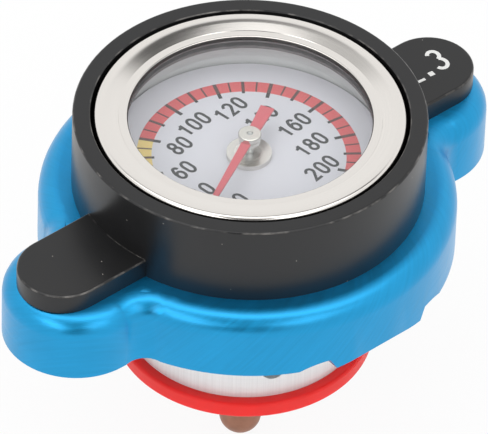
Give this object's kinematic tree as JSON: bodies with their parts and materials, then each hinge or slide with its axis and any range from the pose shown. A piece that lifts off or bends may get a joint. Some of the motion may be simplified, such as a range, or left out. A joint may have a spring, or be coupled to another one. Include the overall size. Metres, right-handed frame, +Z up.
{
  "type": "radiator cap thermometer",
  "caption": "Eared pressure cap for a radiator's filler neck, with a dial thermometer in its top, a probe through its axis and a spring-loaded valve cup with a soft seal below.",
  "frame": {"origin": "on the cap's axis, at the plane of the neck gasket's underside, which sits on the filler neck's rim", "axes": "+Z up along the axis towards the dial, +X along the grip ears, +Y towards the upper side of the dial's figures, with the bayonet tabs on +Y and -Y"},
  "size_m": [0.0874, 0.062, 0.0632],
  "materials": {
    "blue_shell": "satin blue finish on pressed sheet",
    "black_collar": "satin black",
    "bright_steel": "polished",
    "glass": "clear flat glass",
    "black_rubber": "moulded",
    "case_steel": "drawn sheet",
    "dial_white": "printed pale enamel",
    "nickel_brass": "nickel plated, turned",
    "pointer_red": "red enamel",
    "spring_steel": "bright wire",
    "bimetal": "rolled strip",
    "probe_copper": "drawn tube",
    "cup_metal": "satin turned",
    "red_silicone": "moulded silicone",
    "vacuum_brass": "pressed",
    "screw_steel": "zinc plated"
  },
  "bodies": {
    "cap": {"cap_shell": "blue_shell", "gauge_collar": "black_collar", "collar_screws": "screw_steel", "bezel_ring": "bright_steel", "lens": "glass", "lens_gasket": "black_rubber", "gauge_case": "case_steel", "dial_plate": "dial_white", "dial_boss": "nickel_brass", "bimetal_coil": "bimetal", "probe_tube": "probe_copper", "stem_bush": "nickel_brass", "stem_nut": "nickel_brass", "stem_o_ring": "black_rubber", "diaphragm_spring": "spring_steel", "neck_gasket": "black_rubber", "stem_clip": "spring_steel"},
    "pointer": {"pointer": "pointer_red", "pointer_hub": "nickel_brass", "spindle": "spring_steel"},
    "valve_swivel": {"spring_seat": "screw_steel", "pressure_spring": "spring_steel"},
    "pressure_valve": {"valve_cup": "cup_metal", "pressure_seal": "red_silicone", "seal_cage": "screw_steel", "vacuum_spring": "spring_steel"},
    "vacuum_valve": {"vacuum_disc": "vacuum_brass", "vacuum_seal": "black_rubber"}
  },
  "joints": [
    {"name": "pointer_sweep", "type": "hinge", "parent": "cap", "child": "pointer", "pos_m": [0, 0, 0.0117], "axis": [0, 0, -1], "range_deg": [-39.4, 260.6], "deforming": ["bimetal_coil"]},
    {"name": "valve_swivel", "type": "hinge", "parent": "cap", "child": "valve_swivel", "pos_m": [0, 0, 0.0016], "axis": [0, 0, 1], "continuous": true},
    {"name": "valve_lift", "type": "slide", "parent": "valve_swivel", "child": "pressure_valve", "axis": [0, 0, 1], "range_m": [0, 0.005], "stiffness_N_per_m": 12000, "springref_m": -0.004, "deforming": ["pressure_spring"]},
    {"name": "vacuum_drop", "type": "slide", "parent": "pressure_valve", "child": "vacuum_valve", "axis": [0, 0, -1], "range_m": [0, 0.0015], "stiffness_N_per_m": 300, "springref_m": -0.001, "deforming": ["vacuum_spring"]}
  ]
}
